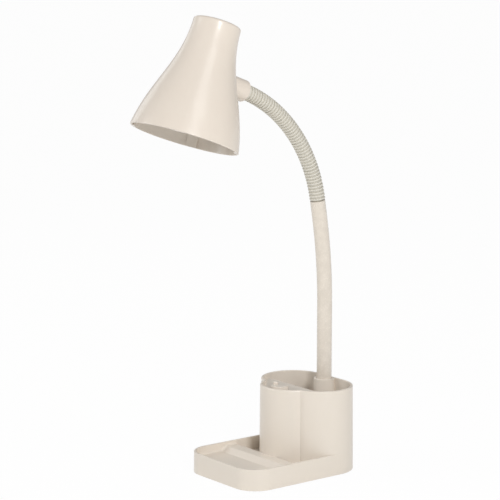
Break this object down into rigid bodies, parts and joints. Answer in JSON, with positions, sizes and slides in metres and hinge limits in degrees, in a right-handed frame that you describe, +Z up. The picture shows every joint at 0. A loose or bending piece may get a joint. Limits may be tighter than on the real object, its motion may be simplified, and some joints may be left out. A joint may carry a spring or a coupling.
{
  "type": "desk lamp",
  "caption": "Desk lamp: moulded base with open tray, shelf, side pockets and oval pen holder, dimmer knob, slim stem, ribbed flexible neck and bell shade over a small bulb.",
  "frame": {"origin": "on the desk, at the middle of the base's footprint", "axes": "+X to the right seen from the front, +Y to the back, +Z up; the neck stands in the plane X = 0"},
  "size_m": [0.1, 0.2159, 0.4178],
  "materials": {
    "base_plastic": "glossy cream ABS",
    "shade_plastic": "glossy cream ABS, slightly warmer",
    "cover_plastic": "matt cream",
    "stem_paint": "cream enamel",
    "neck_vinyl": "satin cream vinyl",
    "foam": "black foam",
    "raw_steel": "zinc plated sheet",
    "zinc": "zinc plated",
    "board": "brown board",
    "black_plastic": "black",
    "black_rubber": "cream soft bushing",
    "holder_plastic": "off-white heat-resisting plastic",
    "nickel": "nickel plated",
    "bulb_plastic": "white",
    "bulb_diffuser": "white diffuser"
  },
  "bodies": {
    "base": {"base_housing": "base_plastic", "bottom_cover": "cover_plastic", "nonslip_pad": "foam", "ballast_plate": "raw_steel", "cover_screw_1": "zinc", "cover_screw_2": "zinc", "cover_screw_3": "zinc", "cover_screw_4": "zinc", "dimmer_board": "board", "dimmer_body": "black_plastic", "dimmer_nut": "zinc", "board_screw_1": "zinc", "board_screw_2": "zinc", "cord_bushing": "black_rubber", "stem_tube": "stem_paint", "stem_ferrule": "zinc", "stem_washer": "zinc", "stem_nut": "zinc", "stem_end_socket": "stem_paint"},
    "knob": {"dimmer_knob": "base_plastic", "dimmer_shaft": "zinc"},
    "neck_1": {"neck_link_1": "neck_vinyl"},
    "neck_2": {"neck_link_2": "neck_vinyl"},
    "neck_3": {"neck_link_3": "neck_vinyl"},
    "neck_4": {"neck_link_4": "neck_vinyl"},
    "neck_5": {"neck_link_5": "neck_vinyl"},
    "neck_6": {"neck_link_6": "neck_vinyl"},
    "neck_7": {"neck_link_7": "neck_vinyl"},
    "neck_8": {"neck_link_8": "neck_vinyl"},
    "neck_9": {"neck_link_9": "neck_vinyl"},
    "head": {"head_ferrule": "zinc", "head_nut": "zinc", "lamp_shade": "shade_plastic", "holder_bracket": "raw_steel", "holder_screw_1": "zinc", "holder_screw_2": "zinc", "lampholder": "holder_plastic", "bulb_cap": "nickel", "bulb_body": "bulb_plastic", "bulb_globe": "bulb_diffuser"}
  },
  "joints": [
    {"name": "neck_bend_1", "type": "hinge", "parent": "base", "child": "neck_1", "pos_m": [0, 0.04844, 0.24745], "axis": [1, 0, 0], "range_deg": [-10, 10]},
    {"name": "neck_swing_2", "type": "hinge", "parent": "neck_1", "child": "neck_2", "pos_m": [0, 0.04508, 0.26257], "axis": [0, 0.9618, 0.2739], "range_deg": [-10, 10]},
    {"name": "neck_bend_3", "type": "hinge", "parent": "neck_2", "child": "neck_3", "pos_m": [0, 0.03997, 0.2772], "axis": [1, 0, 0], "range_deg": [-10, 10]},
    {"name": "neck_swing_4", "type": "hinge", "parent": "neck_3", "child": "neck_4", "pos_m": [0, 0.03318, 0.29112], "axis": [0, 0.8716, 0.4902], "range_deg": [-10, 10]},
    {"name": "neck_bend_5", "type": "hinge", "parent": "neck_4", "child": "neck_5", "pos_m": [0, 0.02481, 0.30416], "axis": [1, 0, 0], "range_deg": [-10, 10]},
    {"name": "neck_swing_6", "type": "hinge", "parent": "neck_5", "child": "neck_6", "pos_m": [0, 0.01497, 0.31612], "axis": [0, 0.7336, 0.6796], "range_deg": [-10, 10]},
    {"name": "neck_bend_7", "type": "hinge", "parent": "neck_6", "child": "neck_7", "pos_m": [0, 0.00379, 0.32685], "axis": [1, 0, 0], "range_deg": [-10, 10]},
    {"name": "neck_swing_8", "type": "hinge", "parent": "neck_7", "child": "neck_8", "pos_m": [0, -0.00857, 0.33619], "axis": [0, 0.5553, 0.8316], "range_deg": [-10, 10]},
    {"name": "neck_bend_9", "type": "hinge", "parent": "neck_8", "child": "neck_9", "pos_m": [0, -0.02193, 0.34402], "axis": [1, 0, 0], "range_deg": [-10, 10]},
    {"name": "neck_swing_10", "type": "hinge", "parent": "neck_9", "child": "head", "pos_m": [0, -0.03612, 0.35023], "axis": [0, 0.3466, 0.938], "range_deg": [-10, 10]},
    {"name": "dimmer_turn", "type": "hinge", "parent": "base", "child": "knob", "pos_m": [0, 0.0043, 0.0759], "axis": [0, 0, 1], "range_deg": [-270, 0]}
  ],
  "couplings": [
    {"joint": "neck_bend_3", "follows": "neck_bend_1", "ratio": 1},
    {"joint": "neck_swing_4", "follows": "neck_swing_2", "ratio": 1},
    {"joint": "neck_bend_5", "follows": "neck_bend_1", "ratio": 1},
    {"joint": "neck_swing_6", "follows": "neck_swing_2", "ratio": 1},
    {"joint": "neck_bend_7", "follows": "neck_bend_1", "ratio": 1},
    {"joint": "neck_swing_8", "follows": "neck_swing_2", "ratio": 1},
    {"joint": "neck_bend_9", "follows": "neck_bend_1", "ratio": 1},
    {"joint": "neck_swing_10", "follows": "neck_swing_2", "ratio": 1}
  ]
}
